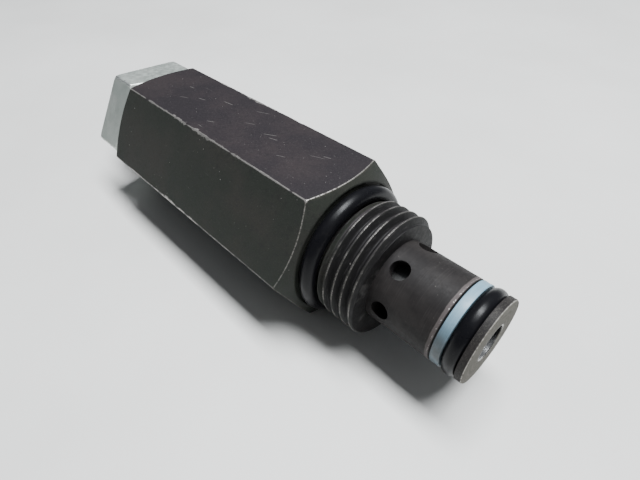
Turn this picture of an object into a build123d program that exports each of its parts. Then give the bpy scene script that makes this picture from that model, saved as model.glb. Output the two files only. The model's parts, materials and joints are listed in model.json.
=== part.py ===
from build123d import *
import os
from math import radians, sin, tan

# A direct-acting, screw-adjusted relief valve cartridge, size 08, made of its separate pieces.
#
# Frame: millimetres. X is the valve's axis, with the nose towards +X. Z is up, and the hexagon
# lies on a flat. The origin is on the axis, in the hexagon's seat face, which meets the manifold.
# An angle about the axis is counted from +Y towards +Z.

# --- hexagon body, outside ---
HEX_FLATS = 23.81               # 15/16 inch across the flats
HEX_LENGTH = 51.1               # seat face to rear face
HEX_FRONT_CHAMFER = 1.5         # depth of the front chamfer at the corners
HEX_REAR_CHAMFER = 1.1
HEX_EDGE_RADIUS = 0.2           # rounding of the long edges
SEAT_FACE_RADIUS = 11.1         # outer edge of the ring that meets the manifold
SEAT_FACE_INNER_RADIUS = 10.8
SEAT_RECESS = 0.3               # the O-ring's room, sunk into the seat face
NECK_RADIUS = 8.18              # O-ring land between the hexagon and the thread
BODY_FRONT = 9.37               # x of the body's front end face

# --- port thread, 3/4-16 UNF ---
PORT_MAJOR_RADIUS = 9.525
PORT_PITCH = 25.4 / 16
PORT_THREAD_START = 2.4         # x where the thread comes out of the neck
PORT_END_RADIUS = 9.28          # edge of the end face
PORT_REAR_RADIUS = 8.8
PORT_CREST_X = 3.98             # a crest's x at the angle below
PORT_CREST_ANGLE = 128.1

# --- bores in the body ---
CAGE_SOCKET_RADIUS = 5.6
MAIN_BORE_RADIUS = 6.3
MAIN_BORE_FRONT = 0.5
SCREW_BORE_START = -40.9
SCREW_BORE_RADIUS = 7.2
STOP_GROOVE_RADIUS = 6.95
STOP_GROOVE_X = -38.9
STOP_GROOVE_WIDTH = 1.0
STOP_RING_INNER_RADIUS = 5.2
STOP_RING_GAP = 3.0             # between the ring's two ends

# --- nose cage ---
NOSE_TIP = 24.55
NOSE_RADIUS = 6.335
NOSE_CHAMFER = 0.15
GROOVE_FRONT = NOSE_TIP - 1.08  # the seal groove's two walls
GROOVE_REAR = NOSE_TIP - 4.75
GROOVE_FLOOR_RADIUS = 4.75
CHAMBER_RADIUS = 4.4
CROSS_HOLE_RADIUS = 1.4
CROSS_HOLE_X = 11.65
CROSS_HOLE_COUNT = 6
CROSS_HOLE_TURN = -3.3          # from the hexagon's corners, degrees
PORT_BORE_RADIUS = 2.6
SEAT_SHOULDER = 20.0            # x of the shoulder that the seat ring stops on

# --- seat and poppet ---
SEAT_X = 15.05                  # x of the seat's edge
SEAT_BORE_RADIUS = 2.2
POPPET_TIP_RADIUS = 1.0
POPPET_CONE_RADIUS = 3.6        # the skirt behind the cone has this radius too
GUIDE_FRONT = 9.2
GUIDE_REAR = 1.2
DRAIN_SLOT_WIDTH = 0.9
DRAIN_SLOT_FLOOR = 3.75
TAIL_RADIUS = 2.6
TAIL_END = -1.0
RUNNING_CLEARANCE = 0.05        # radial, on every sliding fit
FIT_CLEARANCE = 0.02            # radial, on every fixed fit
BALL_RADIUS = 2.381             # 3/16 inch ball
BALL_X = -2.2

# --- spring and its seats ---
SPRING_FRONT = -5.7
SPRING_REAR = -26.5
SPRING_MEAN_RADIUS = 4.85
WIRE_RADIUS = 1.25
SPRING_PITCH = 4.0
SPRING_SEAT_RADIUS = 6.1
SPRING_SEAT_THICKNESS = 2.3
SPRING_BOSS_RADIUS = 3.4
SPRING_BOSS_LENGTH = 2.8
SHIM_THICKNESS = 0.8

# --- adjuster ---
PISTON_FRONT = SPRING_REAR - SHIM_THICKNESS
PISTON_REAR = -36.0
PISTON_GROOVE_FRONT = -31.0
PISTON_GROOVE_REAR = -34.4
PISTON_GROOVE_FLOOR = 4.5
SCREW_MAJOR_RADIUS = 7.144      # 9/16-18 UNF
SCREW_PITCH = 25.4 / 18
SCREW_TIP_RADIUS = 4.5
SCREW_THREAD_START = -43.9
SCREW_END = -67.0
KEY_FLATS = 6.35                # 1/4 inch hexagon key
KEY_DEPTH = 7.0
NUT_FLATS = 22.59
NUT_THICKNESS = 7.5
NUT_FRONT_CHAMFER = 1.0
NUT_REAR_CHAMFER = 0.35
NUT_TURN = -2.9                 # from the body's hexagon, degrees
SCREW_CHAMFER = 1.1

# --- seals: section radius, and radius of the ring through the section's centre ---
PORT_ORING = (1.25, 9.45)
PORT_ORING_X = 1.1
NOSE_ORING = (0.89, 5.645)
NOSE_ORING_HALF_WIDTH = 1.1     # its section is an oval
NOSE_ORING_X = GROOVE_FRONT - 1.12
BACKUP_WIDTH = 1.4
PISTON_BACKUP_WIDTH = 1.4
SEAT_ORING = (0.42, 3.97)
SEAT_ORING_X = 17.7
PISTON_ORING = (0.89, 5.395)
PISTON_ORING_X = PISTON_GROOVE_FRONT - 0.95

# --- threads and hexagons in general ---
THREAD_DEPTH = 0.6134           # depth of a unified external thread, in pitches
CREST_FLAT = 1 / 8              # width of its crests, in pitches
FLANK_ANGLE = 30
RIDGE_ROOT = 0.12               # depth to which the ridge is sunk into its core
CHAMFER_ANGLE = 30              # of a hexagon's end chamfers
SIN_60 = sin(radians(60))


def turned(*corners):
    """Solid of revolution about the X axis from its (x, radius) corners."""
    return revolve(make_face(Polyline(*corners, close=True)), Axis.X)


def rod(x_from, x_to, radius):
    """Plain cylinder on the X axis."""
    return turned((x_from, 0), (x_to, 0), (x_to, radius), (x_from, radius))


def ring(x_from, x_to, inner, outer):
    """Flat ring on the X axis."""
    return turned((x_from, inner), (x_to, inner), (x_to, outer), (x_from, outer))


def seal(x, section):
    """O-ring on the X axis from its section radius and its ring radius."""
    return Plane.YZ.offset(x) * Torus(section[1], section[0])


def ball(x, radius):
    """Ball on the X axis."""
    return Pos(x, 0, 0) * Rot(0, 90, 0) * Sphere(radius)


def hexagon(x_from, x_to, flats, turn=0):
    """Hexagonal bar along X, with a flat up unless it is turned."""
    outline = RegularPolygon(flats / 2, 6, major_radius=False, rotation=turn)
    return extrude(Plane.YZ.offset(x_from) * outline, x_to - x_from)


def rounded_hexagon(x_from, x_to, flats, turn=0):
    """Hexagonal bar whose six long edges are slightly rounded."""
    bar = hexagon(x_from, x_to, flats, turn)
    return fillet(bar.edges().filter_by(Axis.X), HEX_EDGE_RADIUS)


def corner_radius(flats):
    """Distance from a hexagon's centre to its corners."""
    return flats / 2 / SIN_60


def threaded_rod(x_from, x_to, major, pitch, crest_x, crest_angle, front_radius, rear_radius):
    """Rod with a right-hand unified thread, chamfered at both ends.

    A crest lies at crest_x at crest_angle. front_radius is the end face's radius at x_to, and
    rear_radius at x_from.
    """
    depth = THREAD_DEPTH * pitch
    minor = major - depth
    crest_half = CREST_FLAT * pitch / 2
    base_half = crest_half + (depth + RIDGE_ROOT) * tan(radians(FLANK_ANGLE))
    first_crest = crest_x - pitch * crest_angle / 360
    turns_back = int((first_crest - x_from) / pitch) + 2
    start = first_crest - turns_back * pitch
    length = x_to - start + pitch
    ridge_outline = Polyline(
        (minor - RIDGE_ROOT, 0, -base_half),
        (major, 0, -crest_half),
        (major, 0, crest_half),
        (minor - RIDGE_ROOT, 0, base_half),
        close=True,
    )
    spiral = Helix(pitch, length, minor)
    ridge = sweep(make_face(ridge_outline), path=spiral, is_frenet=True)
    ridge = Plane.YZ.offset(start) * ridge
    reach = major + pitch / 2
    rod_outline = turned(
        (x_from, 0),
        (x_to, 0),
        (x_to, front_radius),
        (x_to - (reach - front_radius), reach),
        (x_from + (reach - rear_radius), reach),
        (x_from, rear_radius),
    )
    return (rod(start - pitch, x_to + 2 * pitch, minor) + ridge) & rod_outline


def hex_envelope(x_rear, x_front, flats, rear_depth, front_depth, front_radius=None):
    """Turned shape whose cones cut a hexagon's corners back at both ends."""
    corner = corner_radius(flats)
    reach = corner + 0.5            # clear of the corners
    slope = tan(radians(CHAMFER_ANGLE))
    rear_radius = corner - rear_depth / slope
    if front_radius is None:
        front_radius = corner - front_depth / slope
    front_slope = front_depth / (corner - front_radius)
    return turned(
        (x_rear, 0),
        (x_rear, rear_radius),
        (x_rear + (reach - rear_radius) * slope, reach),
        (x_front - (reach - front_radius) * front_slope, reach),
        (x_front, front_radius),
        (x_front, 0),
    )


def hex_body():
    """Hexagon, O-ring neck and port thread in one piece, bored through from end to end."""
    bar = rounded_hexagon(-HEX_LENGTH, 0, HEX_FLATS) & hex_envelope(
        -HEX_LENGTH, 0, HEX_FLATS, HEX_REAR_CHAMFER, HEX_FRONT_CHAMFER, SEAT_FACE_RADIUS
    )
    bar -= ring(-SEAT_RECESS, 1, NECK_RADIUS, SEAT_FACE_INNER_RADIUS)
    neck = rod(-1, PORT_THREAD_START, NECK_RADIUS)
    thread = threaded_rod(
        PORT_THREAD_START,
        BODY_FRONT,
        PORT_MAJOR_RADIUS,
        PORT_PITCH,
        PORT_CREST_X,
        PORT_CREST_ANGLE,
        PORT_END_RADIUS,
        PORT_REAR_RADIUS,
    )
    solid = bar + neck + thread
    mouth = 0.6
    bore = turned(
        (BODY_FRONT + 1, 0),
        (BODY_FRONT + 1, CAGE_SOCKET_RADIUS),
        (MAIN_BORE_FRONT, CAGE_SOCKET_RADIUS),
        (MAIN_BORE_FRONT, MAIN_BORE_RADIUS),
        (STOP_GROOVE_X, MAIN_BORE_RADIUS),
        (STOP_GROOVE_X, STOP_GROOVE_RADIUS),
        (STOP_GROOVE_X - STOP_GROOVE_WIDTH, STOP_GROOVE_RADIUS),
        (STOP_GROOVE_X - STOP_GROOVE_WIDTH, MAIN_BORE_RADIUS),
        (SCREW_BORE_START, MAIN_BORE_RADIUS),
        (SCREW_BORE_START, SCREW_BORE_RADIUS),
        (-HEX_LENGTH + mouth, SCREW_BORE_RADIUS),
        (-HEX_LENGTH, SCREW_BORE_RADIUS + mouth),
        (-HEX_LENGTH - 1, SCREW_BORE_RADIUS + mouth),
        (-HEX_LENGTH - 1, 0),
    )
    return solid - bore


def nose_cage():
    """Nose sleeve: shank in the body, cross holes, seal groove and the end port's bore."""
    entry = 0.12
    edge = 0.25
    shank_radius = CAGE_SOCKET_RADIUS - FIT_CLEARANCE
    shell = turned(
        (MAIN_BORE_FRONT, CHAMBER_RADIUS),
        (MAIN_BORE_FRONT, shank_radius),
        (BODY_FRONT, shank_radius),
        (BODY_FRONT, NOSE_RADIUS),
        (GROOVE_REAR - edge, NOSE_RADIUS),
        (GROOVE_REAR, NOSE_RADIUS - edge),
        (GROOVE_REAR, GROOVE_FLOOR_RADIUS),
        (GROOVE_FRONT, GROOVE_FLOOR_RADIUS),
        (GROOVE_FRONT, NOSE_RADIUS),
        (NOSE_TIP - NOSE_CHAMFER, NOSE_RADIUS),
        (NOSE_TIP, NOSE_RADIUS - NOSE_CHAMFER),
        (NOSE_TIP, PORT_BORE_RADIUS + entry),
        (NOSE_TIP - entry, PORT_BORE_RADIUS),
        (SEAT_SHOULDER, PORT_BORE_RADIUS),
        (SEAT_SHOULDER, CHAMBER_RADIUS),
    )
    drill = Plane.XY.offset(CHAMBER_RADIUS - 1) * Cylinder(
        CROSS_HOLE_RADIUS, NOSE_RADIUS, align=(Align.CENTER, Align.CENTER, Align.MIN)
    )
    for number in range(CROSS_HOLE_COUNT):
        angle = number * 360 / CROSS_HOLE_COUNT + CROSS_HOLE_TURN - 90
        shell -= Pos(CROSS_HOLE_X, 0, 0) * Rot(angle, 0, 0) * drill
    return shell


def valve_seat():
    """Hardened seat ring, with the groove of its static seal."""
    outer = CHAMBER_RADIUS - FIT_CLEARANCE
    groove_half = 0.6
    groove_floor = SEAT_ORING[1] - SEAT_ORING[0] - FIT_CLEARANCE
    front_chamfer = 0.4
    return turned(
        (SEAT_X, SEAT_BORE_RADIUS),
        (SEAT_X, outer),
        (SEAT_ORING_X - groove_half, outer),
        (SEAT_ORING_X - groove_half, groove_floor),
        (SEAT_ORING_X + groove_half, groove_floor),
        (SEAT_ORING_X + groove_half, outer),
        (SEAT_SHOULDER, outer),
        (SEAT_SHOULDER, SEAT_BORE_RADIUS + front_chamfer),
        (SEAT_SHOULDER - front_chamfer, SEAT_BORE_RADIUS),
    )


def poppet():
    """Cone poppet: 45 degree cone, skirt past the cross holes, slotted guide piston and tail."""
    guide_radius = CHAMBER_RADIUS - RUNNING_CLEARANCE
    tip = SEAT_X + SEAT_BORE_RADIUS - POPPET_TIP_RADIUS
    cone_base = SEAT_X + SEAT_BORE_RADIUS - POPPET_CONE_RADIUS
    chamfer = 0.4
    shape = turned(
        (tip, 0),
        (tip, POPPET_TIP_RADIUS),
        (cone_base, POPPET_CONE_RADIUS),
        (GUIDE_FRONT + chamfer, POPPET_CONE_RADIUS),
        (GUIDE_FRONT, guide_radius),
        (GUIDE_REAR, guide_radius),
        (GUIDE_REAR - chamfer, guide_radius - chamfer),
        (GUIDE_REAR - chamfer, TAIL_RADIUS),
        (TAIL_END, TAIL_RADIUS),
        (TAIL_END, 0),
    )
    shape -= ball(BALL_X, BALL_RADIUS + FIT_CLEARANCE)
    cutter = Box(GUIDE_FRONT - GUIDE_REAR + 2, DRAIN_SLOT_WIDTH, 2)
    drain = Pos((GUIDE_FRONT + GUIDE_REAR) / 2, 0, DRAIN_SLOT_FLOOR + 1) * cutter
    return shape - drain


def thrust_ball():
    """Ball between the poppet's tail and the spring seat."""
    return ball(BALL_X, BALL_RADIUS)


def front_spring_seat():
    """Flange that carries the spring's front end, with a boss inside the coil."""
    face = SPRING_FRONT + SPRING_SEAT_THICKNESS
    boss_end = SPRING_FRONT - SPRING_BOSS_LENGTH
    chamfer = 0.5
    shape = turned(
        (face, 0),
        (face, SPRING_SEAT_RADIUS - chamfer),
        (face - chamfer, SPRING_SEAT_RADIUS),
        (SPRING_FRONT, SPRING_SEAT_RADIUS),
        (SPRING_FRONT, SPRING_BOSS_RADIUS),
        (boss_end + chamfer, SPRING_BOSS_RADIUS),
        (boss_end, SPRING_BOSS_RADIUS - chamfer),
        (boss_end, 0),
    )
    return shape - ball(BALL_X, BALL_RADIUS + FIT_CLEARANCE)


def main_spring():
    """Pressure-setting spring, with both ends ground flat."""
    length = SPRING_FRONT - SPRING_REAR
    overrun = WIRE_RADIUS
    spiral = Helix(SPRING_PITCH, length + 2 * overrun, SPRING_MEAN_RADIUS)
    wire_section = Plane(origin=spiral @ 0, z_dir=spiral % 0) * Circle(WIRE_RADIUS)
    coil = sweep(wire_section, path=spiral, is_frenet=True)
    coil = Plane.YZ.offset(SPRING_REAR - overrun) * coil
    return coil & rod(SPRING_REAR, SPRING_FRONT, MAIN_BORE_RADIUS + 1)


def spring_shim():
    """Range-setting washer behind the spring."""
    return ring(PISTON_FRONT, SPRING_REAR, SPRING_BOSS_RADIUS + 0.1, SPRING_SEAT_RADIUS)


def adjuster_piston():
    """Sealed piston that carries the spring's rear end and is pushed by the screw."""
    radius = MAIN_BORE_RADIUS - RUNNING_CLEARANCE
    boss_end = SPRING_REAR + SPRING_BOSS_LENGTH
    chamfer = 0.5
    return turned(
        (boss_end, 0),
        (boss_end, SPRING_BOSS_RADIUS - chamfer),
        (boss_end - chamfer, SPRING_BOSS_RADIUS),
        (PISTON_FRONT, SPRING_BOSS_RADIUS),
        (PISTON_FRONT, radius - chamfer),
        (PISTON_FRONT - chamfer, radius),
        (PISTON_GROOVE_FRONT, radius),
        (PISTON_GROOVE_FRONT, PISTON_GROOVE_FLOOR),
        (PISTON_GROOVE_REAR, PISTON_GROOVE_FLOOR),
        (PISTON_GROOVE_REAR, radius),
        (PISTON_REAR + chamfer, radius),
        (PISTON_REAR, radius - chamfer),
        (PISTON_REAR, 0),
    )


def adjuster_backup_ring():
    """Backup ring on the dry side of the piston's O-ring."""
    front = PISTON_GROOVE_REAR + PISTON_BACKUP_WIDTH
    return ring(
        PISTON_GROOVE_REAR, front, PISTON_GROOVE_FLOOR, MAIN_BORE_RADIUS - FIT_CLEARANCE
    )


def piston_stop_ring():
    """Split retaining ring that keeps the piston in the body."""
    whole = ring(
        STOP_GROOVE_X - STOP_GROOVE_WIDTH + FIT_CLEARANCE,
        STOP_GROOVE_X - FIT_CLEARANCE,
        STOP_RING_INNER_RADIUS,
        STOP_GROOVE_RADIUS - FIT_CLEARANCE,
    )
    cutter = Box(3 * STOP_GROOVE_WIDTH, STOP_RING_GAP, STOP_GROOVE_RADIUS)
    return whole - Pos(STOP_GROOVE_X, 0, STOP_GROOVE_RADIUS) * cutter


def adjusting_screw():
    """Set screw with a plain tip that pushes the piston, and a hexagon key socket."""
    tip_chamfer = 0.6
    overlap = 1.2
    tip = turned(
        (PISTON_REAR, 0),
        (PISTON_REAR, SCREW_TIP_RADIUS - tip_chamfer),
        (PISTON_REAR - tip_chamfer, SCREW_TIP_RADIUS),
        (SCREW_THREAD_START - overlap, SCREW_TIP_RADIUS),
        (SCREW_THREAD_START - overlap, 0),
    )
    thread = threaded_rod(
        SCREW_END,
        SCREW_THREAD_START,
        SCREW_MAJOR_RADIUS,
        SCREW_PITCH,
        SCREW_END,
        0,
        SCREW_MAJOR_RADIUS - SCREW_CHAMFER,
        SCREW_MAJOR_RADIUS - SCREW_CHAMFER,
    )
    key_corner = corner_radius(KEY_FLATS)
    socket = hexagon(SCREW_END - 1, SCREW_END + KEY_DEPTH, KEY_FLATS)
    socket_floor = SCREW_END + KEY_DEPTH
    drill_point = turned(
        (socket_floor - 1, 0),
        (socket_floor - 1, KEY_FLATS / 2),
        (socket_floor, KEY_FLATS / 2),
        (socket_floor + KEY_FLATS / 4, 0),
    )
    mouth_depth = 0.5
    mouth_edge = key_corner + 0.2
    mouth = turned(
        (SCREW_END - mouth_depth, 0),
        (SCREW_END - mouth_depth, mouth_edge + mouth_depth),
        (SCREW_END + mouth_depth, mouth_edge - mouth_depth),
        (SCREW_END + mouth_depth, 0),
    )
    return tip + thread - socket - drill_point - mouth


def lock_nut():
    """Hexagon jam nut, chamfered more in front, tight against the body's rear face."""
    front = -HEX_LENGTH
    rear = front - NUT_THICKNESS
    blank = rounded_hexagon(rear, front, NUT_FLATS, NUT_TURN) & hex_envelope(
        rear, front, NUT_FLATS, NUT_REAR_CHAMFER, NUT_FRONT_CHAMFER
    )
    mouth = 0.7
    bore = turned(
        (rear - 1, 0),
        (rear - 1, SCREW_BORE_RADIUS + mouth),
        (rear, SCREW_BORE_RADIUS + mouth),
        (rear + mouth, SCREW_BORE_RADIUS),
        (front - mouth, SCREW_BORE_RADIUS),
        (front, SCREW_BORE_RADIUS + mouth),
        (front + 1, SCREW_BORE_RADIUS + mouth),
        (front + 1, 0),
    )
    return blank - bore


def nose_oring():
    """Nose O-ring, whose section is flattened along the axis between its neighbours."""
    section = Pos(NOSE_ORING_X, NOSE_ORING[1], 0) * Ellipse(NOSE_ORING_HALF_WIDTH, NOSE_ORING[0])
    return revolve(section, Axis.X)


def nose_backup_ring():
    """Backup ring between the nose O-ring and the groove's rear wall."""
    rear = GROOVE_REAR + FIT_CLEARANCE
    return ring(rear, GROOVE_REAR + BACKUP_WIDTH, GROOVE_FLOOR_RADIUS, NOSE_RADIUS)


PIECES = {
    "hex_body": hex_body,
    "nose_cage": nose_cage,
    "valve_seat": valve_seat,
    "seat_oring": lambda: seal(SEAT_ORING_X, SEAT_ORING),
    "poppet": poppet,
    "thrust_ball": thrust_ball,
    "front_spring_seat": front_spring_seat,
    "main_spring": main_spring,
    "spring_shim": spring_shim,
    "adjuster_piston": adjuster_piston,
    "adjuster_oring": lambda: seal(PISTON_ORING_X, PISTON_ORING),
    "adjuster_backup_ring": adjuster_backup_ring,
    "piston_stop_ring": piston_stop_ring,
    "adjusting_screw": adjusting_screw,
    "lock_nut": lock_nut,
    "port_oring": lambda: seal(PORT_ORING_X, PORT_ORING),
    "nose_oring": nose_oring,
    "nose_backup_ring": nose_backup_ring,
}

os.makedirs("parts", exist_ok=True)
for name, make in PIECES.items():
    export_step(make(), f"parts/{name}.step")
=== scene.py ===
import json
import math

import bpy
import numpy as np
from mathutils import Matrix, Vector


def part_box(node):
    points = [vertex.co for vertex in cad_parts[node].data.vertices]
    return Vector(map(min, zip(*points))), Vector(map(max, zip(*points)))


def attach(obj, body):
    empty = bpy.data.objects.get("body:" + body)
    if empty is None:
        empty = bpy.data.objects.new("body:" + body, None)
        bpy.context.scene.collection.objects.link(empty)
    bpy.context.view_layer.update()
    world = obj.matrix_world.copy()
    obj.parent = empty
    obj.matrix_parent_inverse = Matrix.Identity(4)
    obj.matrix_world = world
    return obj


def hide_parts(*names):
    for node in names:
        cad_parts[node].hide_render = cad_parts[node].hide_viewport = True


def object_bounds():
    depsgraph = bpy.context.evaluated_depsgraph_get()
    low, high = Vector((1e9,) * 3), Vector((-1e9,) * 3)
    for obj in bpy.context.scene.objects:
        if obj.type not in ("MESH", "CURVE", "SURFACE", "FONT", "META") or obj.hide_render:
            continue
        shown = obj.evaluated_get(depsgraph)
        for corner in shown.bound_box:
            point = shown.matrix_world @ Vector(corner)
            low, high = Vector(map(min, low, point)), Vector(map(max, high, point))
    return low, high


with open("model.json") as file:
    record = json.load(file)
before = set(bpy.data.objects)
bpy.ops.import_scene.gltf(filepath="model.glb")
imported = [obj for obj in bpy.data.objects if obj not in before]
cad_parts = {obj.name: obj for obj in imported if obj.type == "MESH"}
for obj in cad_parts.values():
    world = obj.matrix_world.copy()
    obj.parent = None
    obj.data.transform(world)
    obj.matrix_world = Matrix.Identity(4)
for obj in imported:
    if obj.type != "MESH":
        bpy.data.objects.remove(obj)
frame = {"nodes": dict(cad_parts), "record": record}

cad_low, cad_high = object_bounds()

# The valve lies along X with its nose towards +X. Lengths below are millimetres until a mesh is
# made. An angle about the axis is counted from +Y towards +Z.

MM = 0.001


def span(node, axis):
    """A CAD node's lowest and highest coordinate on one axis, in millimetres."""
    low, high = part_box(node)
    return low[axis] / MM, high[axis] / MM


BODY_REAR, BODY_FRONT = span("hex_body", 0)
HEX_APOTHEM = span("hex_body", 2)[1]
NUT_REAR, NUT_FRONT = span("lock_nut", 0)
SCREW_REAR, SCREW_TIP = span("adjusting_screw", 0)
SCREW_RADIUS = span("adjusting_screw", 2)[1]
NOSE_TIP = span("nose_cage", 0)[1]
NOSE_RADIUS = span("nose_cage", 2)[1]

COS_30 = math.cos(math.radians(30))
TAN_30 = math.tan(math.radians(30))

# --- the body: hexagon, seat face, port thread and bores ---
HEX_CORNER = HEX_APOTHEM / COS_30
HEX_FRONT_CHAMFER = 1.5
HEX_REAR_CHAMFER = 1.1
HEX_ROUNDING = 0.35        # the corners between flats
EDGE_ROUNDING = 0.12       # the edges between a hexagon and its end cones
DENT_SEED = 3
DENT_DEPTH = 0.12
SEAT_FACE_RADIUS = 11.1
SEAT_FACE_INNER = 10.8
SEAT_RECESS = 0.3
NECK_RADIUS = 8.18
PORT_MAJOR = 9.525
PORT_PITCH = 25.4 / 16
PORT_THREAD_START = 2.4
PORT_REAR_RADIUS = 8.8
PORT_END_RADIUS = 9.28
PORT_CREST_X = 3.98        # one point of the thread's crest, and its angle
PORT_CREST_ANGLE = 128.1
THREAD_DEPTH = 0.6134      # of one pitch
SOCKET_RADIUS = 5.6
MAIN_BORE = 6.3
MAIN_BORE_FRONT = 0.5
SCREW_BORE = 7.2
SCREW_BORE_START = -40.9
BORE_MOUTH = 0.6           # the chamfer where the screw enters the body

# --- the lock nut ---
NUT_APOTHEM = 22.59 / 2
NUT_CORNER = NUT_APOTHEM / COS_30
NUT_FRONT_CHAMFER = 1.0
NUT_REAR_CHAMFER = 0.35
NUT_ROUNDING = 0.25
NUT_EDGE_BREAK = 0.12
NUT_MOUTH = 0.7            # the chamfers at both ends of its bore
NUT_TURN = -2.9            # degrees from the body's flats

# --- the adjusting screw ---
SCREW_PITCH = 25.4 / 18
SCREW_CHAMFER = 1.1
SCREW_THREAD_END = -43.9
SCREW_TIP_RADIUS = 4.5
SCREW_TIP_CHAMFER = 0.6
KEY_APOTHEM = 3.175
KEY_DEPTH = 7.0

# --- the seals ---
PORT_ORING_CENTRE = 9.45   # radius of each O-ring's centre circle
NOSE_ORING_CENTRE = 5.645
BACKUP_INNER_RADIUS = 4.75

# --- shading and wear ---
METAL_CREASE = 38          # degrees; a sharper edge than this isn't shaded smooth
RUBBER_CREASE = 80
PLASTIC_CREASE = 50
RUB_CENTRE = -30.0         # where the long edges are rubbed most
RUB_HALF_LENGTH = 16.0
SCRATCH_SEED = 23

# --- the room ---
FLOOR_SIZE = 3.0           # metres, like the lamps' places and sizes
BRIGHT_DIRECTION = (-0.45, 0.70, 0.55)
DIM_SIDE = 0.10            # the room's brightness away from that direction
BRIGHT_SIDE = 0.24         # and towards it

# --- the camera, placed from the nose's tip ---
CAMERA_FROM_TIP = (7.22, -36.58, 46.63)
CAMERA_RIGHT = (0.700, 0.714, -0.007)
CAMERA_FORWARD = (-0.524, 0.508, -0.684)
FOCAL_LENGTH = 24.37
SENSOR_WIDTH = 36.0

# --- angles round the axis, closer together near the corners of a hexagon ---
FROM_CORNER = [0, 0.2, 0.45, 0.8, 1.3, 2, 3, 4.5, 6.5, 9, 12, 15, 18, 21, 24, 27]
SECTOR = sorted(FROM_CORNER + [-a for a in FROM_CORNER[1:]] + [30])
ANGLES = np.array([corner + a for corner in range(0, 360, 60) for a in SECTOR], float)


# --- shapes as stacks of rings: each ring is a pair of arrays, x and radius at every angle ---

def flat_ring(x, radius):
    """Ring at one x, whose radius is a number or an array."""
    return np.full(len(ANGLES), float(x)), np.zeros(len(ANGLES)) + radius


def profile(*points):
    """One flat ring for each (x, radius)."""
    return [flat_ring(x, radius) for x, radius in points]


def smooth_min(a, b, width):
    """The lesser of two lengths, with the corner between them rounded over width."""
    low, high = np.minimum(a, b), np.maximum(a, b)
    h = np.clip(0.5 + 0.5 * (high - low) / width, 0, 1)
    return low * h + np.minimum(high, low + width) * (1 - h) - width * h * (1 - h)


def hexagon(apothem, rounding):
    """Radius of a hexagon at every angle, with its corners rounded."""
    a = np.radians(ANGLES % 60)
    left = apothem / np.cos(a - math.radians(30))
    right = apothem / np.cos(a + math.radians(30))
    other = apothem / np.cos(a - math.radians(90))
    sides = smooth_min(left, right, rounding)
    return smooth_min(sides, other, rounding)


def dents(x, corner):
    """How far one corner of the body's hexagon is knocked in at x by the dents along it."""
    rng = np.random.default_rng(DENT_SEED * 7 + corner)
    total = 0.0
    for _ in range(9):
        place = rng.uniform(BODY_REAR + 2, -1.5)
        width = rng.uniform(0.15, 0.7)
        total += DENT_DEPTH * rng.uniform(0.2, 1.0) * math.exp(-(((x - place) / width) ** 2))
    return total


def worn_hexagon(x):
    """The body's hexagon at this x, with the small dents in its corners."""
    radius = hexagon(HEX_APOTHEM, HEX_ROUNDING)
    for corner in range(6):
        away = np.abs((ANGLES - corner * 60 + 180) % 360 - 180)
        radius = radius - dents(x, corner) * np.exp(-((away / 1.1) ** 2))
    return radius


def thread_radius(x, major, pitch, crest_x, crest_angle):
    """Radius of a right-hand unified thread at every angle, at one x."""
    depth = THREAD_DEPTH * pitch
    phase = (x - crest_x - pitch * (ANGLES - crest_angle) / 360) / pitch
    away = np.abs((phase + 0.5) % 1 - 0.5) * pitch
    flank = major - (away - pitch / 16) / TAN_30
    crest = smooth_min(flank, major, 0.05 * pitch)
    return -smooth_min(-crest, depth - major, 0.12 * pitch)


def mesh_from_rings(name, rings, capped=False, turn=0.0):
    """One closed mesh through the rings in turn, turned about the axis by some degrees.

    The last ring is joined to the first, or both are capped where the piece has no bore.
    """
    count = len(ANGLES)
    cos_a = np.cos(np.radians(ANGLES + turn))
    sin_a = np.sin(np.radians(ANGLES + turn))
    points = np.concatenate([np.stack([x, r * cos_a, r * sin_a], 1) for x, r in rings]) * MM
    faces = []
    for k in range(len(rings) - 1 if capped else len(rings)):
        here = k * count
        there = (k + 1) % len(rings) * count
        for j in range(count):
            j2 = (j + 1) % count
            faces.append((here + j, here + j2, there + j2, there + j))
    if capped:
        faces.append(tuple(range(count))[::-1])
        faces.append(tuple(range(count * (len(rings) - 1), count * len(rings))))
    mesh = bpy.data.meshes.new(name)
    mesh.from_pydata(points.tolist(), [], faces)
    mesh.validate()
    obj = bpy.data.objects.new(name, mesh)
    bpy.context.scene.collection.objects.link(obj)
    return obj


def shade_smooth(obj, angle):
    """Smooth shading with the edges sharper than the angle kept sharp."""
    for other in bpy.context.selected_objects:
        other.select_set(False)
    obj.select_set(True)
    bpy.context.view_layer.objects.active = obj
    bpy.ops.object.shade_smooth_by_angle(angle=math.radians(angle))
    obj.select_set(False)


def steps(start, end, spacing):
    """Evenly spaced values from start to end, both included."""
    return np.linspace(start, end, max(2, int(abs(end - start) / spacing) + 1))


def rebuild(node, body, rings, crease, capped=False, turn=0.0):
    """A CAD node made again from rings: rides it on its body, hides the node."""
    obj = mesh_from_rings(node + "_shell", rings, capped, turn)
    shade_smooth(obj, crease)
    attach(obj, body)
    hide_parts(node)
    return obj


# --- the pieces ---

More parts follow.
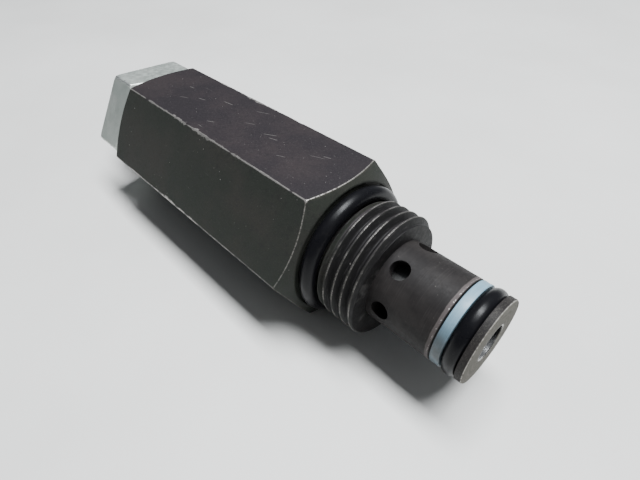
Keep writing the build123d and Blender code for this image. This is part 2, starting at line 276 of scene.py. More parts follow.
def hex_body_rings():
    """Rear face, hexagon, seat face, neck, port thread and front face, then back down the bore."""
    rear_radius = HEX_CORNER - HEX_REAR_CHAMFER / TAN_30
    front_slope = HEX_FRONT_CHAMFER / (HEX_CORNER - SEAT_FACE_RADIUS)
    rings = profile(
        (BODY_REAR, SCREW_BORE + BORE_MOUTH),
        (BODY_REAR, rear_radius - 0.25),
    )
    zones = (
        steps(BODY_REAR, BODY_REAR + 1.7, 0.05),
        steps(BODY_REAR + 1.7, -2.2, 0.45)[1:-1],
        steps(-2.2, 0, 0.045),
    )
    for x in np.concatenate(zones):
        rear_cone = rear_radius - 0.1 + (x - BODY_REAR) / TAN_30
        front_cone = SEAT_FACE_RADIUS - x / front_slope
        radius = smooth_min(worn_hexagon(x), rear_cone, EDGE_ROUNDING)
        rings.append(flat_ring(x, smooth_min(radius, front_cone, EDGE_ROUNDING)))
    rings += profile(
        (0, SEAT_FACE_INNER + 0.05),
        (-0.05, SEAT_FACE_INNER),
        (-SEAT_RECESS + 0.05, SEAT_FACE_INNER),
        (-SEAT_RECESS, SEAT_FACE_INNER - 0.05),
        (-SEAT_RECESS, NECK_RADIUS + 0.15),
        (-SEAT_RECESS + 0.05, NECK_RADIUS + 0.04),
        (-SEAT_RECESS + 0.15, NECK_RADIUS),
        (PORT_THREAD_START - 0.04, NECK_RADIUS),
    )
    for x in steps(PORT_THREAD_START, BODY_FRONT, 0.05):
        radius = thread_radius(x, PORT_MAJOR, PORT_PITCH, PORT_CREST_X, PORT_CREST_ANGLE)
        start_cone = PORT_REAR_RADIUS + (x - PORT_THREAD_START)
        end_cone = PORT_END_RADIUS + (BODY_FRONT - x)
        radius = smooth_min(smooth_min(radius, start_cone, 0.05), end_cone, 0.05)
        rings.append(flat_ring(x, radius))
    face_outer = rings[-1][1]
    rings += profile(
        (BODY_FRONT, face_outer - 0.06),
        (BODY_FRONT, NOSE_RADIUS + 0.6),
        (BODY_FRONT, NOSE_RADIUS - 0.2),
        (BODY_FRONT, SOCKET_RADIUS),
        (MAIN_BORE_FRONT, SOCKET_RADIUS),
        (MAIN_BORE_FRONT, MAIN_BORE),
        (SCREW_BORE_START, MAIN_BORE),
        (SCREW_BORE_START, SCREW_BORE),
        (BODY_REAR + BORE_MOUTH, SCREW_BORE),
    )
    return rings


def lock_nut_rings():
    """Hexagon nut, chamfered more in front than behind."""
    rear_start = NUT_CORNER - NUT_REAR_CHAMFER / TAN_30
    front_start = NUT_CORNER - NUT_FRONT_CHAMFER / TAN_30
    outline = hexagon(NUT_APOTHEM, NUT_ROUNDING)
    softened = np.minimum(outline, rear_start) - NUT_EDGE_BREAK
    rings = profile(
        (NUT_REAR, SCREW_BORE + NUT_MOUTH),
        (NUT_REAR, softened - 0.5),
        (NUT_REAR, softened),
    )
    zones = (
        steps(NUT_REAR + 0.04, NUT_REAR + 0.8, 0.05),
        steps(NUT_REAR + 0.8, NUT_FRONT - 1.5, 0.5)[1:-1],
        steps(NUT_FRONT - 1.5, NUT_FRONT, 0.05),
    )
    for x in np.concatenate(zones):
        rear_cone = rear_start + (x - NUT_REAR) / TAN_30
        front_cone = front_start - 0.1 + (NUT_FRONT - x) / TAN_30
        radius = smooth_min(outline, rear_cone, EDGE_ROUNDING)
        radius = smooth_min(radius, front_cone, EDGE_ROUNDING)
        broken = max(0.0, NUT_EDGE_BREAK - (x - NUT_REAR))
        rings.append(flat_ring(x, radius - broken))
    rings += profile(
        (NUT_FRONT, front_start - 0.4),
        (NUT_FRONT, SCREW_BORE + NUT_MOUTH),
        (NUT_FRONT - NUT_MOUTH, SCREW_BORE),
        (NUT_REAR + NUT_MOUTH, SCREW_BORE),
    )
    return rings


def screw_rings():
    """Key socket, threaded length and plain tip."""
    end_radius = SCREW_RADIUS - SCREW_CHAMFER
    key = hexagon(KEY_APOTHEM, 0.02)
    rings = profile(
        (SCREW_REAR + KEY_DEPTH + 1.5, 0.3),
        (SCREW_REAR + KEY_DEPTH, KEY_APOTHEM * 0.98),
        (SCREW_REAR + KEY_DEPTH, key),
        (SCREW_REAR + 0.35, key),
        (SCREW_REAR, key + 0.35),
        (SCREW_REAR, end_radius - 0.05),
    )
    for x in steps(SCREW_REAR + 0.01, SCREW_THREAD_END, 0.07):
        radius = thread_radius(x, SCREW_RADIUS, SCREW_PITCH, SCREW_REAR, 0)
        start_cone = end_radius + (x - SCREW_REAR)
        end_cone = end_radius + (SCREW_THREAD_END - x)
        radius = smooth_min(smooth_min(radius, start_cone, 0.1), end_cone, 0.1)
        rings.append(flat_ring(x, radius))
    rings += profile(
        (SCREW_THREAD_END, SCREW_TIP_RADIUS),
        (SCREW_TIP - SCREW_TIP_CHAMFER, SCREW_TIP_RADIUS),
        (SCREW_TIP, SCREW_TIP_RADIUS - SCREW_TIP_CHAMFER),
        (SCREW_TIP, 0.3),
    )
    return rings


def seal_rings(node, centre, around=40, flash=0.012):
    """O-ring round a centre circle, with the fine parting line of its mould."""
    low, high = span(node, 0)
    half_width = (high - low) / 2
    half_height = span(node, 2)[1] - centre
    rings = []
    for number in range(around):
        angle = 2 * math.pi * number / around
        line = flash * math.exp(-((math.sin(angle) / 0.1) ** 2))
        x = (low + high) / 2 + (half_width - flash) * math.sin(angle)
        rings.append(flat_ring(x, centre + (half_height - flash + line) * math.cos(angle)))
    return rings[::-1]


def backup_rings():
    """Backup ring with softened corners and a slightly dished outer face."""
    low, high = span("nose_backup_ring", 0)
    outer = span("nose_backup_ring", 2)[1]
    corner = 0.12
    return profile(
        (low, BACKUP_INNER_RADIUS),
        (low, outer - corner),
        (low + corner * 0.3, outer - corner * 0.3),
        (low + corner, outer),
        ((low + high) / 2, outer - 0.03),
        (high - corner, outer),
        (high - corner * 0.3, outer - corner * 0.3),
        (high, outer - corner),
        (high, BACKUP_INNER_RADIUS),
    )


# --- materials: patterns follow from the place on the object, in millimetres, and its facing ---

class Finish:
    """A material's node tree, with short calls for the nodes that the finishes share."""

    def __init__(self, name):
        self.material = bpy.data.materials.new(name)
        self.material.use_nodes = True
        self.tree = self.material.node_tree
        self.shader = self.tree.nodes["Principled BSDF"]
        coordinates = self.tree.nodes.new("ShaderNodeTexCoord")
        self.place = self.vector("SCALE", coordinates.outputs["Object"], scale=1 / MM)
        split = self.tree.nodes.new("ShaderNodeSeparateXYZ")
        self.link(self.place, split.inputs[0])
        self.x, self.y, self.z = split.outputs

    def link(self, source, target):
        """Feeds an input from another node's output, or sets it to a plain value."""
        if hasattr(source, "node"):
            self.tree.links.new(source, target)
        elif source is not None:
            target.default_value = source

    def vector(self, operation, first, second=None, scale=None):
        """A vector node's result, which is a number for a distance or a dot product."""
        node = self.tree.nodes.new("ShaderNodeVectorMath")
        node.operation = operation
        self.link(first, node.inputs[0])
        self.link(second, node.inputs[1])
        if scale is not None:
            self.link(scale, node.inputs["Scale"])
        return node.outputs["Value" if operation in ("DISTANCE", "DOT_PRODUCT") else 0]

    def math(self, operation, first, second=None):
        node = self.tree.nodes.new("ShaderNodeMath")
        node.operation = operation
        self.link(first, node.inputs[0])
        self.link(second, node.inputs[1])
        return node.outputs[0]

    def ramp(self, value, low, high, to_low=0.0, to_high=1.0, smooth=True):
        """Value stretched from low..high to to_low..to_high, and held at the ends."""
        node = self.tree.nodes.new("ShaderNodeMapRange")
        node.interpolation_type = "SMOOTHSTEP" if smooth else "LINEAR"
        sources = (value, low, high, to_low, to_high)
        for source, target in zip(sources, node.inputs):
            self.link(source, target)
        return node.outputs[0]

    def noise(self, size, detail=3.0, rough=0.55, stretch=(1, 1, 1), place=None, shift=0.0):
        """Noise whose blobs are about size millimetres across, times stretch."""
        scaled = self.vector("DIVIDE", place or self.place, tuple(size * s for s in stretch))
        moved = self.vector("ADD", scaled, (shift, shift * 0.7, -shift))
        node = self.tree.nodes.new("ShaderNodeTexNoise")
        self.link(moved, node.inputs["Vector"])
        node.inputs["Scale"].default_value = 1.0
        node.inputs["Detail"].default_value = detail
        node.inputs["Roughness"].default_value = rough
        return node.outputs[0]

    def mix(self, share, first, second):
        """Colour between first and second by share."""
        node = self.tree.nodes.new("ShaderNodeMix")
        node.data_type = "RGBA"
        self.link(share, node.inputs[0])
        self.link(first if hasattr(first, "node") else (*first, 1), node.inputs[6])
        self.link(second if hasattr(second, "node") else (*second, 1), node.inputs[7])
        return node.outputs[2]

    def blend(self, share, first, second):
        """Number between first and second by share."""
        return self.ramp(share, 0.0, 1.0, first, second, smooth=False)

    def both(self, first, second):
        """Where two masks overlap, or a mask made weaker by a number."""
        return self.math("MULTIPLY", first, second)

    def either(self, first, second):
        """Where one mask or the other is, by the stronger."""
        return self.math("MAXIMUM", first, second)

    def radius(self):
        """Distance from the valve's axis."""
        squares = self.math("ADD", self.math("POWER", self.y, 2.0), self.math("POWER", self.z, 2.0))
        return self.math("SQRT", squares)

    def facing_up(self):
        """1 where the surface looks straight up, -1 where it looks down."""
        surface = self.tree.nodes.new("ShaderNodeNewGeometry")
        return self.vector("DOT_PRODUCT", surface.outputs["Normal"], (0.0, 0.0, 1.0))

    def around(self, radius):
        """Place unrolled: along the axis, round it at this radius, and out from it."""
        angle = self.math("ARCTAN2", self.z, self.y)
        join = self.tree.nodes.new("ShaderNodeCombineXYZ")
        self.link(self.x, join.inputs[0])
        self.link(self.math("MULTIPLY", angle, radius), join.inputs[1])
        self.link(self.radius(), join.inputs[2])
        return join.outputs[0]

    def bump(self, height, strength, distance):
        """Surface relief, added to any relief that is already there."""
        node = self.tree.nodes.new("ShaderNodeBump")
        node.inputs["Strength"].default_value = strength
        node.inputs["Distance"].default_value = distance * MM
        self.link(height, node.inputs["Height"])
        taken = self.shader.inputs["Normal"].links
        if taken:
            self.link(taken[0].from_socket, node.inputs["Normal"])
        self.link(node.outputs[0], self.shader.inputs["Normal"])

    def done(self, colour, roughness, metallic, **extra):
        """Feeds the shader, any further input by its name with underscores."""
        self.link(colour, self.shader.inputs["Base Color"])
        self.link(roughness, self.shader.inputs["Roughness"])
        self.link(metallic, self.shader.inputs["Metallic"])
        for name, value in extra.items():
            title = name.replace("_", " ").title().replace("Ior", "IOR")
            self.link(value, self.shader.inputs[title])
        return self.material


def hexagon_distances(f, apothem, turn=0.0):
    """Two depths below a hexagon: under its nearest flat, and under its second nearest.

    On a flat the first is 0 and the second is the distance to the corner line, by the slope.
    """
    distances = []
    for angle in (30, 90, 150):
        a = math.radians(angle + turn)
        normal = (0.0, math.cos(a), math.sin(a))
        distances.append(f.math("ABSOLUTE", f.vector("DOT_PRODUCT", f.place, normal)))
    high = f.math("MAXIMUM", distances[0], distances[1])
    low = f.math("MINIMUM", distances[0], distances[1])
    first = f.math("MAXIMUM", high, distances[2])
    second = f.math("MAXIMUM", low, f.math("MINIMUM", high, distances[2]))
    return f.math("SUBTRACT", apothem, first), f.math("SUBTRACT", apothem, second)


def near(f, value, target, width):
    """1 where value is at target, falling to 0 at width away."""
    return f.ramp(f.math("ABSOLUTE", f.math("SUBTRACT", value, target)), 0.0, width, 1.0, 0.0)


def scratch(f, start, end, width, strength):
    """A thin straight scratch in the top face's plane, between two (x, y) points."""
    run = Vector((end[0] - start[0], end[1] - start[1], 0))
    length = run.length
    along = run.normalized()
    from_start = f.vector("SUBTRACT", f.place, (start[0], start[1], 0.0))
    t = f.vector("DOT_PRODUCT", from_start, tuple(along))
    across = f.vector("DOT_PRODUCT", from_start, (-along.y, along.x, 0.0))
    line = f.ramp(f.math("ABSOLUTE", across), 0.0, width, strength, 0.0)
    from_middle = f.math("ABSOLUTE", f.math("SUBTRACT", t, length / 2))
    taper = f.ramp(from_middle, length * 0.3, length / 2, 1.0, 0.0)
    return f.both(line, taper)


def top_scratches(f):
    """A few short scratches on the hexagon's upper face, roughly along the valve."""
    rng = np.random.default_rng(SCRATCH_SEED)
    marks = 0.0
    for number in range(12):
        start = (-43 + 3.3 * number + rng.uniform(-1, 1), rng.uniform(-4.0, 4.5))
        heading = rng.uniform(0.15, 0.55)
        length = rng.uniform(1.0, 3.2)
        end = (start[0] + length * math.cos(heading), start[1] + length * math.sin(heading))
        mark = scratch(f, start, end, rng.uniform(0.05, 0.10), rng.uniform(0.15, 0.55))
        marks = f.either(marks, mark)
    return f.both(marks, f.ramp(f.z, HEX_APOTHEM - 0.3, HEX_APOTHEM - 0.1))


def depth_under_cone(f, radius):
    """How far a point lies inside the cone that chamfers the hexagon's front end."""
    slope = (HEX_CORNER - SEAT_FACE_RADIUS) / HEX_FRONT_CHAMFER
    inside = f.math("ADD", radius, f.math("MULTIPLY", f.x, slope))
    return f.math("SUBTRACT", SEAT_FACE_RADIUS, inside)


def edge_wear_and_highlight(f, facing, under_cone):
    """Bright wear on the hexagon: its long edges, the arcs of its chamfer and one corner. The edge
    lines and the chamfer's arcs are made brighter where they face up, a painted highlight.
    """
    under_flat, edge = hexagon_distances(f, HEX_APOTHEM)
    behind_chamfer = f.ramp(f.x, -1.2, -1.7)

    middle = near(f, f.x, RUB_CENTRE, RUB_HALF_LENGTH)
    patchy = f.ramp(f.noise(3.5, 4.0, 0.7, stretch=(1.6, 1, 1)), 0.38, 0.66)
    widest = f.math("ADD", 0.12, f.both(middle, 0.55))
    reach = f.math("ADD", 0.10, f.both(patchy, widest))
    rubbed = f.ramp(f.math("DIVIDE", edge, reach), 0.35, 1.0, 1.0, 0.0)
    broken = f.ramp(f.noise(0.35, 4.0, 0.75, stretch=(2.5, 1, 1)), 0.36, 0.54)
    rubbed = f.both(f.both(rubbed, broken), behind_chamfer)

    # painted highlight: the worn edge line is brighter where it faces up
    hairline = f.both(f.ramp(edge, 0.06, 0.17, 0.8, 0.0), f.ramp(facing, -0.3, 0.6, 0.45, 1.0))
    uneven = f.ramp(f.noise(0.5, 3.0, 0.7), 0.36, 0.5, 0.35, 1.0)
    hairline = f.both(f.both(hairline, behind_chamfer), uneven)

    arc = f.ramp(f.either(under_flat, f.both(under_cone, 0.45)), 0.03, 0.12, 0.60, 0.0)
    uneven = f.ramp(f.noise(0.4, 3.0, 0.7), 0.38, 0.56, 0.15, 1.0)
    arc = f.both(f.both(arc, f.ramp(f.x, -3.0, -2.5)), uneven)
    # painted highlight: the worn arcs are brighter where they face up
    arc = f.both(arc, f.ramp(facing, -0.2, 0.9, 0.45, 1.0))

    corner = (-HEX_FRONT_CHAMFER, -HEX_CORNER / 2, HEX_APOTHEM)
    nick = f.ramp(f.vector("DISTANCE", f.place, corner), 0.10, 0.38, 1.0, 0.0)
    return f.either(f.either(rubbed, hairline), f.either(arc, nick))


def crest_wear(f, radius, on_thread):
    """Bright lines at both edges of the port thread's crest, patchy and speckled."""
    crest = f.both(f.ramp(radius, PORT_MAJOR - 0.04, PORT_MAJOR - 0.01), 0.30)
    crest = f.either(crest, near(f, radius, PORT_MAJOR - 0.03, 0.025))
    uneven = f.ramp(f.noise(2.6, 2.0, 0.5, shift=2.0), 0.40, 0.60, 0.06, 0.85)
    speckled = f.ramp(f.noise(0.22, 4.0, 0.7, shift=5.0), 0.40, 0.60, 0.25, 1.0)
    return f.both(f.both(crest, on_thread), f.both(uneven, speckled))


def black_steel():
    """Black-oxided steel of the hexagon and thread, rubbed bright on its edges and crests. It also
    carries painted light: upper faces toned apart from the sides, the upper chamfer lighter, the
    thread shaded towards its roots, and the edge wear brighter where it faces up.
    """
    f = Finish("black_oxide_steel")
    radius = f.radius()
    facing = f.facing_up()
    cloud = f.noise(9.0, 4.0)
    grain = f.noise(0.16, 4.0, 0.7)
    fine = f.noise(0.6, 5.0, 0.7, shift=4.0)
    cut_lines = f.noise(0.10, 3.0, 0.7, stretch=(1, 30, 30), place=f.around(PORT_MAJOR))
    on_hexagon = f.ramp(f.x, 0.02, -0.02)
    on_thread = f.ramp(f.x, PORT_THREAD_START - 0.2, PORT_THREAD_START)
    under_cone = depth_under_cone(f, radius)

    # painted light: faces that look up get a darker purple-brown tone and the sides a greenish one,
    # the tones the light gives them rather than the oxide's own
    top = f.ramp(facing, 0.55, 0.95)
    colour = f.mix(top, (0.018, 0.021, 0.017), (0.013, 0.0105, 0.0125))
    browner = f.mix(0.25, colour, (0.046, 0.033, 0.032))
    colour = f.mix(f.ramp(cloud, 0.35, 0.7), colour, browner)
    colour = f.mix(f.ramp(grain, 0.5, 0.8, 0.0, 0.35), colour, (0.085, 0.078, 0.076))
    colour = f.mix(f.ramp(fine, 0.5, 0.35, 0.0, 0.5), colour, (0.012, 0.011, 0.012))
    # painted light: the front chamfer is lighter and browner only where it faces up, where the
    # light falls on it
    chamfer = f.both(f.ramp(under_cone, 0.3, 0.1), f.both(f.ramp(f.x, -2.5, -2.3), on_hexagon))
    upper_chamfer = f.both(chamfer, f.ramp(facing, 0.35, 0.75))
    upper_chamfer = f.both(upper_chamfer, f.ramp(cloud, 0.3, 0.6, 0.4, 0.9))
    colour = f.mix(upper_chamfer, colour, (0.048, 0.042, 0.032))
    front_face = f.both(f.ramp(f.x, BODY_FRONT - 0.06, BODY_FRONT - 0.01), 0.75)
    colour = f.mix(front_face, colour, (0.016, 0.0145, 0.0115))
    # painted shade: the thread is darkened a little at its crests and most in its roots
    in_thread = f.ramp(f.x, PORT_THREAD_START + 0.8, PORT_THREAD_START + 1.2)
    thread_root_shade = f.both(in_thread, f.ramp(radius, PORT_MAJOR, PORT_MAJOR - 0.3, 0.45, 0.92))
    colour = f.mix(thread_root_shade, colour, (0.007, 0.0065, 0.007))
    thread_lines = f.both(on_thread, f.ramp(cut_lines, 0.56, 0.74, 0.0, 0.5))
    colour = f.mix(thread_lines, colour, (0.075, 0.072, 0.070))

    streaks = f.noise(0.5, 4.0, 0.65, stretch=(9, 0.5, 0.5), shift=9.0)
    rubs = f.both(f.ramp(streaks, 0.68, 0.78, 0.0, 0.3), on_hexagon)
    specks = f.ramp(f.noise(0.45, 2.0, 0.5, shift=13.0), 0.73, 0.8, 0.0, 0.7)
    # the edge wear in this mask is brighter on upward faces, a painted highlight
    bare_metal = f.either(edge_wear_and_highlight(f, facing, under_cone), crest_wear(f, radius, on_thread))
    bare_metal = f.either(f.either(bare_metal, f.either(rubs, specks)), top_scratches(f))
    colour = f.mix(bare_metal, colour, (0.36, 0.34, 0.32))
    rough = f.math("ADD", f.ramp(fine, 0.3, 0.7, 0.50, 0.64), f.both(grain, 0.08))
    rough = f.blend(bare_metal, rough, 0.36)
    f.bump(grain, 0.5, 0.02)
    f.bump(f.both(cut_lines, on_thread), 0.5, 0.03)
    f.bump(f.noise(2.0, 3.0, 0.6), 0.25, 0.06)
    f.bump(bare_metal, 0.35, -0.03)
    return f.done(colour, rough, f.blend(bare_metal, 0.25, 0.95), specular_ior_level=0.2)


def dark_sleeve():
    """Heat-treated steel of the nose, turned, with bare metal at the groove's edge and the tip. It
    has painted shade in the gap by the backup ring, and painted shade and reflection on the bore's
    wall.
    """
    f = Finish("dark_sleeve_steel")
    radius = f.radius()
    facing = f.facing_up()
    cloud = f.noise(4.0, 4.0, 0.6, shift=3.0)
    grain = f.noise(0.12, 3.0, 0.7)
    turning = f.noise(0.11, 3.0, 0.6, stretch=(1, 60, 60), place=f.around(NOSE_RADIUS))
    end_turning = f.noise(0.16, 2.0, 0.5, stretch=(60, 60, 1), place=f.around(NOSE_RADIUS))
    end_marks = f.ramp(end_turning, 0.35, 0.65)

    groove_rear = span("nose_backup_ring", 0)[0]
    band_noise = f.noise(1.0, 4.0, 0.7, stretch=(0.5, 2, 2), place=f.around(NOSE_RADIUS))
    band_edge = f.math("ADD", groove_rear - 0.95, f.both(band_noise, 0.35))
    band = f.ramp(f.math("SUBTRACT", f.x, band_edge), -0.05, 0.1)
    band = f.both(band, f.ramp(f.x, groove_rear - 0.22, groove_rear - 0.27))
    flecks = f.ramp(f.noise(0.3, 3.0, 0.7), 0.50, 0.62)
    rim = f.both(near(f, f.x, groove_rear - 0.36, 0.16), flecks)
    # painted shade: near-black at the gap before the backup ring, where shade falls
    groove_gap_shade = f.both(near(f, f.x, groove_rear - 0.10, 0.16), f.ramp(radius, 5.5, 6.0))
    tip = f.ramp(f.x, NOSE_TIP - 0.17, NOSE_TIP - 0.10)
    uneven = f.ramp(f.noise(0.35, 3.0, 0.7), 0.35, 0.6, 0.15, 0.9)
    tip_edge = f.both(near(f, f.x, NOSE_TIP - 0.10, 0.09), uneven)
    on_land = f.ramp(f.x, NOSE_TIP - 1.2, NOSE_TIP - 1.0)
    land = f.both(on_land, f.ramp(f.noise(0.16, 4.0, 0.7), 0.50, 0.72, 0.0, 0.28))
    # the bore's wall, whose colour is painted shade and reflection
    bore = f.both(f.ramp(radius, 2.9, 2.7), f.ramp(f.x, 19.0, 19.5))
    bare_metal = f.either(f.either(f.both(band, 0.20), f.both(rim, 0.9)), f.both(tip, 0.08))
    # this mask also takes in the bore, with its painted shade and reflection
    bare_metal = f.either(f.either(bare_metal, land), f.either(tip_edge, bore))

    colour = f.mix(f.ramp(cloud, 0.35, 0.65), (0.0100, 0.0088, 0.0088), (0.0175, 0.0155, 0.0150))
    colour = f.mix(f.ramp(turning, 0.5, 0.75, 0.0, 0.25), colour, (0.05, 0.044, 0.042))
    bare = f.mix(end_marks, (0.19, 0.182, 0.155), (0.26, 0.25, 0.22))
    bare = f.mix(band, bare, (0.30, 0.255, 0.25))
    bare = f.mix(f.either(rim, tip_edge), bare, (0.45, 0.43, 0.41))
    # painted shade on the bore's upper wall, which faces down, and a painted reflection on its
    # lower wall, which faces up
    bore_shade_and_reflection = f.mix(f.ramp(facing, 0.3, 0.9), (0.03, 0.03, 0.03), (0.80, 0.81, 0.82))
    bare = f.mix(bore, bare, bore_shade_and_reflection)
    specks = f.ramp(f.noise(0.4, 3.0, 0.6, shift=7.0), 0.7, 0.8, 0.0, 0.6)
    colour = f.mix(f.either(bare_metal, specks), colour, bare)
    tip_colour = f.mix(end_marks, (0.075, 0.070, 0.058), (0.11, 0.103, 0.086))
    colour = f.mix(f.both(tip, 0.85), colour, tip_colour)
    colour = f.mix(tip_edge, colour, bare)
    # the painted gap shade
    colour = f.mix(groove_gap_shade, colour, (0.004, 0.004, 0.004))
    rough = f.ramp(f.noise(0.5, 4.0, 0.7, shift=5.0), 0.3, 0.7, 0.54, 0.68)
    rough = f.blend(bore, rough, 0.18)
    gloss = f.blend(tip, 0.15, 0.04)
    f.bump(turning, 0.35, 0.012)
    f.bump(grain, 0.3, 0.012)
    return f.done(colour, rough, f.blend(bare_metal, 0.0, 0.9), specular_ior_level=gloss)


def zinc_plate():
    """Pale zinc plate with a faint green cast, cloudy and rubbed at the corners."""
    f = Finish("zinc_plate")
    cloud = f.noise(3.5, 5.0, 0.6, shift=1.0)
    fine = f.noise(0.35, 4.0, 0.7)
    colour = f.mix(f.ramp(cloud, 0.3, 0.7), (0.36, 0.395, 0.365), (0.45, 0.475, 0.445))
    colour = f.mix(f.ramp(fine, 0.55, 0.8, 0.0, 0.5), colour, (0.25, 0.28, 0.25))
    edge = hexagon_distances(f, NUT_APOTHEM, NUT_TURN)[1]
    rubbed = f.both(f.ramp(edge, 0.1, 0.45, 1.0, 0.0), f.ramp(f.noise(0.6, 4.0, 0.7), 0.35, 0.6))
    colour = f.mix(rubbed, colour, (0.78, 0.79, 0.76))
    rough = f.ramp(f.noise(1.0, 4.0, 0.6, shift=6.0), 0.3, 0.7, 0.38, 0.55)
    f.bump(fine, 0.35, 0.02)
    f.bump(f.noise(2.2, 3.0, 0.5), 0.3, 0.05)
    return f.done(colour, f.blend(rubbed, rough, 0.28), f.blend(rubbed, 0.75, 1.0))


def dark_screw():
    """Black-oxided screw with bright crests and key socket."""
    f = Finish("black_screw")
    radius = f.radius()
    crest = f.ramp(radius, SCREW_RADIUS - 0.14, SCREW_RADIUS - 0.02)
    crest = f.both(crest, f.ramp(f.noise(0.7, 3.0, 0.7), 0.35, 0.6, 0.2, 0.9))
    key_corner = KEY_APOTHEM / COS_30
    mouth = f.both(near(f, radius, key_corner, 0.5), f.ramp(f.x, SCREW_REAR + 0.4, SCREW_REAR))
    bare_metal = f.either(crest, f.both(mouth, 0.6))
    grain = f.noise(0.2, 4.0, 0.7)
    cloud = f.ramp(f.noise(3.0, 4.0), 0.35, 0.65)
    colour = f.mix(cloud, (0.028, 0.026, 0.027), (0.05, 0.046, 0.045))
    colour = f.mix(bare_metal, colour, (0.38, 0.36, 0.34))
    rough = f.blend(bare_metal, f.ramp(grain, 0.3, 0.7, 0.36, 0.5), 0.3)
    f.bump(grain, 0.4, 0.015)
    return f.done(colour, rough, f.blend(bare_metal, 0.6, 0.95))


def seal_rubber():
    """Oiled black nitrile, with a little dust and a faint sheen."""
    f = Finish("seal_rubber")
    dust = f.ramp(f.noise(0.9, 5.0, 0.7), 0.5, 0.8)
    specks = f.ramp(f.noise(0.18, 2.0, 0.5), 0.68, 0.78)
    colour = f.mix(f.both(dust, 0.35), (0.004, 0.004, 0.005), (0.016, 0.015, 0.015))
    colour = f.mix(f.both(specks, 0.2), colour, (0.09, 0.085, 0.08))
    rough = f.ramp(f.noise(1.6, 4.0, 0.6, shift=3.0), 0.3, 0.7, 0.27, 0.36)
    f.bump(f.noise(0.25, 4.0, 0.6), 0.12, 0.02)
    f.bump(f.noise(1.8, 2.0, 0.5), 0.15, 0.05)
    return f.done(colour, rough, 0.0, specular_ior_level=0.13)


def blue_backup():
    """Pale blue plastic that lets a little light in, turned and smudged, with painted shade
    darkening it where it faces sideways and down.
    """
    f = Finish("blue_backup_plastic")
    turning = f.noise(0.1, 2.0, 0.5, stretch=(1, 80, 80), place=f.around(NOSE_RADIUS))
    smudge = f.ramp(f.noise(1.4, 4.0, 0.7), 0.5, 0.75)
    colour = f.mix(f.ramp(turning, 0.3, 0.7), (0.140, 0.24, 0.31), (0.175, 0.28, 0.35))
    colour = f.mix(f.both(smudge, 0.4), colour, (0.13, 0.20, 0.23))
    # painted shade: the ring darkened where it faces sideways and down, broken into patches
    shade_patches = f.ramp(f.noise(2.5, 4.0, 0.6, shift=8.0), 0.3, 0.6, 0.75, 1.0)
    underside_shade = f.both(f.ramp(f.facing_up(), 0.99, 0.25), shade_patches)
    colour = f.mix(f.both(underside_shade, 0.92), colour, (0.030, 0.037, 0.040))
    rough = f.ramp(f.noise(0.8, 3.0, 0.6), 0.3, 0.7, 0.42, 0.56)
    f.bump(turning, 0.3, 0.01)
    return f.done(
        colour,
        rough,
        0.0,
        subsurface_weight=0.15,
        subsurface_radius=(0.0006, 0.0009, 0.001),
        subsurface_scale=1.0,
    )


def ground_steel():
    """Hardened, ground steel of the working parts inside."""
    f = Finish("ground_steel")
    marks = f.noise(0.08, 3.0, 0.6, stretch=(1, 50, 50), place=f.around(5.0))
    colour = f.mix(f.ramp(marks, 0.35, 0.7), (0.17, 0.17, 0.17), (0.27, 0.27, 0.26))
    colour = f.mix(f.ramp(f.noise(1.5, 4.0), 0.55, 0.8, 0.0, 0.5), colour, (0.13, 0.12, 0.11))
    f.bump(marks, 0.3, 0.01)
    return f.done(colour, f.ramp(f.noise(0.7, 3.0), 0.3, 0.7, 0.34, 0.48), 0.8)


def spring_wire():
    """Oil-tempered wire, blue-grey, with drawing lines."""
    f = Finish("spring_wire")
    lines = f.noise(0.14, 4.0, 0.7)
    colour = f.mix(f.ramp(lines, 0.35, 0.7), (0.10, 0.11, 0.13), (0.22, 0.23, 0.26))
    f.bump(lines, 0.3, 0.01)
    return f.done(colour, f.ramp(f.noise(1.1, 3.0), 0.3, 0.7, 0.3, 0.45), 0.9)


def table_top():
    """Plain pale table, faintly mottled."""
    f = Finish("pale_table")
    cloud = f.noise(60.0, 4.0)
    colour = f.mix(f.ramp(cloud, 0.3, 0.7), (0.585, 0.58, 0.56), (0.64, 0.635, 0.615))
    f.bump(f.noise(0.8, 3.0), 0.1, 0.03)
    return f.done(colour, 0.6, 0.0)


# --- the object ---

def build():
    """The six rebuilt pieces, and a finish on them and on every CAD node that stays."""
    finishes = {
        "black_steel": black_steel(),
        "dark_sleeve": dark_sleeve(),
        "zinc_plate": zinc_plate(),
        "dark_screw": dark_screw(),
        "seal_rubber": seal_rubber(),
        "blue_backup": blue_backup(),
        "hard_steel": ground_steel(),
        "spring_wire": spring_wire(),
    }
    shells = {
        "hex_body": rebuild("hex_body", "body", hex_body_rings(), METAL_CREASE),
        "lock_nut": rebuild(
            "lock_nut", "nut", lock_nut_rings(), METAL_CREASE, turn=NUT_TURN
        ),
        "adjusting_screw": rebuild(
            "adjusting_screw", "screw", screw_rings(), METAL_CREASE, capped=True
        ),
    }
    for node, centre in (("port_oring", PORT_ORING_CENTRE), ("nose_oring", NOSE_ORING_CENTRE)):
        rings = seal_rings(node, centre)
        shells[node] = rebuild(node, "body", rings, RUBBER_CREASE)
    shells["nose_backup_ring"] = rebuild(
        "nose_backup_ring", "body", backup_rings(), PLASTIC_CREASE
    )

    for part in frame["record"]["subparts"]:
        obj = shells.get(part["node"], frame["nodes"][part["node"]])
        obj.data.materials.clear()
        obj.data.materials.append(finishes[part["material_slot"]])


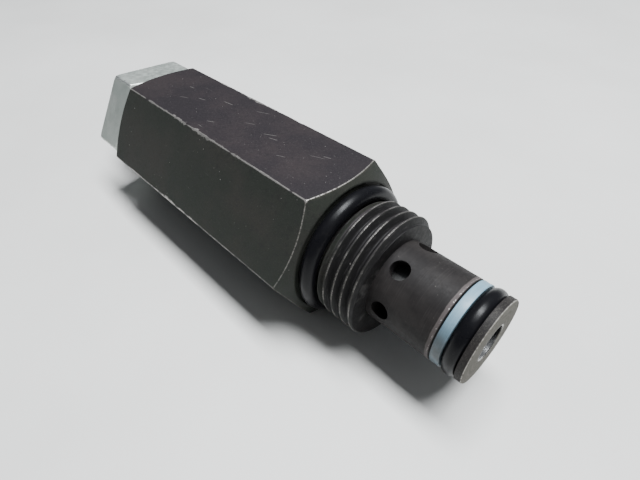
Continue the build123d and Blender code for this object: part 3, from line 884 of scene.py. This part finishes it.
def floor_and_light():
    """A plain pale floor, a big soft light overhead, a faint one past the nose, a pale room."""
    bpy.ops.mesh.primitive_plane_add(size=FLOOR_SIZE, location=(0, 0, cad_low.z))
    floor = bpy.context.object
    floor.name = "floor"
    floor.data.materials.append(table_top())

    world = bpy.data.worlds.new("pale_room")
    world.use_nodes = True
    bpy.context.scene.world = world
    tree = world.node_tree
    background = tree.nodes["Background"]
    background.inputs[0].default_value = (0.82, 0.88, 0.96, 1)
    coordinates = tree.nodes.new("ShaderNodeTexCoord")
    towards = tree.nodes.new("ShaderNodeVectorMath")
    towards.operation = "DOT_PRODUCT"
    towards.inputs[1].default_value = Vector(BRIGHT_DIRECTION).normalized()
    tree.links.new(coordinates.outputs["Generated"], towards.inputs[0])
    spread = tree.nodes.new("ShaderNodeMapRange")
    spread.interpolation_type = "SMOOTHSTEP"
    for value, target in zip((-0.7, 0.8, DIM_SIDE, BRIGHT_SIDE), spread.inputs[1:5]):
        target.default_value = value
    tree.links.new(towards.outputs["Value"], spread.inputs[0])
    tree.links.new(spread.outputs[0], background.inputs[1])

    area_lamp("overhead", (0.08, 0.09, 0.60), 0.08, (0.50, 0.18), 13.5, (0.94, 0.97, 1.0))
    area_lamp("side_fill", (0.50, -0.05, 0.35), 0.0, (0.40, 0.40), 0.25, (1.0, 0.97, 0.90))


def area_lamp(name, place, target, size, power, tint):
    """A rectangular lamp that shines at the point of the axis whose x is target."""
    data = bpy.data.lights.new(name, "AREA")
    data.shape = "RECTANGLE"
    data.size, data.size_y = size
    data.energy = power
    data.color = tint
    lamp = bpy.data.objects.new(name, data)
    lamp.location = place
    aim = Vector((target, 0, 0)) - Vector(place)
    lamp.rotation_euler = aim.to_track_quat("-Z", "Y").to_euler()
    bpy.context.scene.collection.objects.link(lamp)


def camera():
    """A close, wide camera above the nose, looking back along the valve."""
    place = (Vector((NOSE_TIP, 0, 0)) + Vector(CAMERA_FROM_TIP)) * MM
    right = Vector(CAMERA_RIGHT).normalized()
    forward = Vector(CAMERA_FORWARD).normalized()
    up = right.cross(forward).normalized()
    forward = up.cross(right).normalized()
    data = bpy.data.cameras.new("camera")
    data.sensor_width = SENSOR_WIDTH
    data.lens = FOCAL_LENGTH
    data.clip_start = 0.001
    data.dof.use_dof = False
    eye = bpy.data.objects.new("camera", data)
    turn = Matrix((right, up, -forward)).transposed().to_4x4()
    eye.matrix_world = Matrix.Translation(place) @ turn
    bpy.context.scene.collection.objects.link(eye)
    bpy.context.scene.camera = eye


build()
floor_and_light()
camera()
